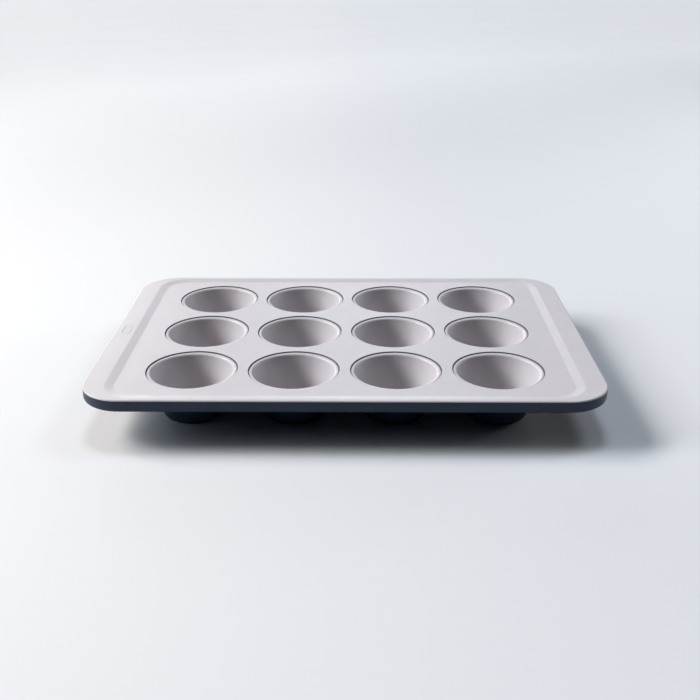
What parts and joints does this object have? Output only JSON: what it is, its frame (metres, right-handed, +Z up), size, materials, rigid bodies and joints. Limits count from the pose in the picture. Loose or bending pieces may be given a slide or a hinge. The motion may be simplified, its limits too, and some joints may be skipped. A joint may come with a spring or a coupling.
{
  "type": "muffin tin",
  "caption": "Rectangular baking tin with rows of round tapered cups seated in a flanged, recessed deck; holds batter for muffins and stands on its cup floors.",
  "frame": {"origin": "under the centre of the tin, on the plane that the cup floors stand on", "axes": "+X along the length to the viewer's right, +Y from front to back, +Z up out of the cups' mouths; -Y is the front, with the rectangular emboss on the -X end"},
  "size_m": [0.404, 0.281, 0.039],
  "materials": {
    "deck_coating": "satin light warm-grey ceramic non-stick on the top face; dark navy enamel on the skirt, hem and underside",
    "cup_coating": "satin light warm-grey ceramic non-stick inside the cup; dark navy enamel outside",
    "wire_steel": "drawn bright steel wire, hidden in the hem"
  },
  "bodies": {
    "root": {"deck_plate": "deck_coating", "rim_wire": "wire_steel", "cup_r1c1": "cup_coating", "cup_r1c2": "cup_coating", "cup_r1c3": "cup_coating", "cup_r1c4": "cup_coating", "cup_r2c1": "cup_coating", "cup_r2c2": "cup_coating", "cup_r2c3": "cup_coating", "cup_r2c4": "cup_coating", "cup_r3c1": "cup_coating", "cup_r3c2": "cup_coating", "cup_r3c3": "cup_coating", "cup_r3c4": "cup_coating"}
  },
  "joints": []
}
